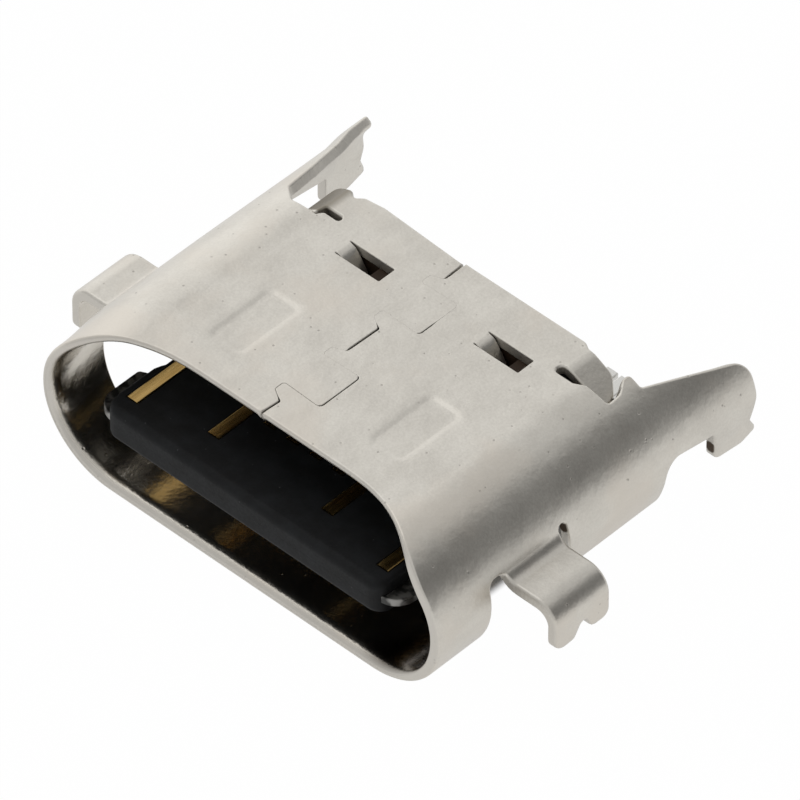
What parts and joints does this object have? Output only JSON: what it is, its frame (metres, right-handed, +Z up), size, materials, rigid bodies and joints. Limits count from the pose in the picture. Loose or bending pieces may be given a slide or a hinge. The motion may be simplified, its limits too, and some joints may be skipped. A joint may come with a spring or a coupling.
{
  "type": "charging port connector",
  "caption": "Board-mounted oval charging receptacle: folded metal shell with side tabs, rear wings and a dovetailed seam round a moulded tongue with plated contacts.",
  "frame": {"origin": "under the middle of the part, on the plane of the shell's flat bottom", "axes": "+X along the mouth's width, +Y from the mouth to the rear wings, +Z up through the top plate"},
  "size_m": [0.0108, 0.0074, 0.003],
  "materials": {
    "shell_metal": "satin plated sheet, faintly pitted",
    "black_moulding": "black filled moulding, matte",
    "plate_steel": "stamped steel",
    "plated_contact": "plated copper alloy"
  },
  "bodies": {
    "root": {"shell": "shell_metal", "base_overmould": "black_moulding", "upper_insulator": "black_moulding", "lower_insulator": "black_moulding", "mid_plate": "plate_steel", "upper_contact_1": "plated_contact", "upper_contact_2": "plated_contact", "upper_contact_3": "plated_contact", "upper_contact_4": "plated_contact", "upper_contact_5": "plated_contact", "upper_contact_6": "plated_contact", "upper_contact_7": "plated_contact", "upper_contact_8": "plated_contact", "lower_contact_1": "plated_contact", "lower_contact_2": "plated_contact", "lower_contact_3": "plated_contact", "lower_contact_4": "plated_contact", "lower_contact_5": "plated_contact", "lower_contact_6": "plated_contact", "lower_contact_7": "plated_contact", "lower_contact_8": "plated_contact"}
  },
  "joints": []
}
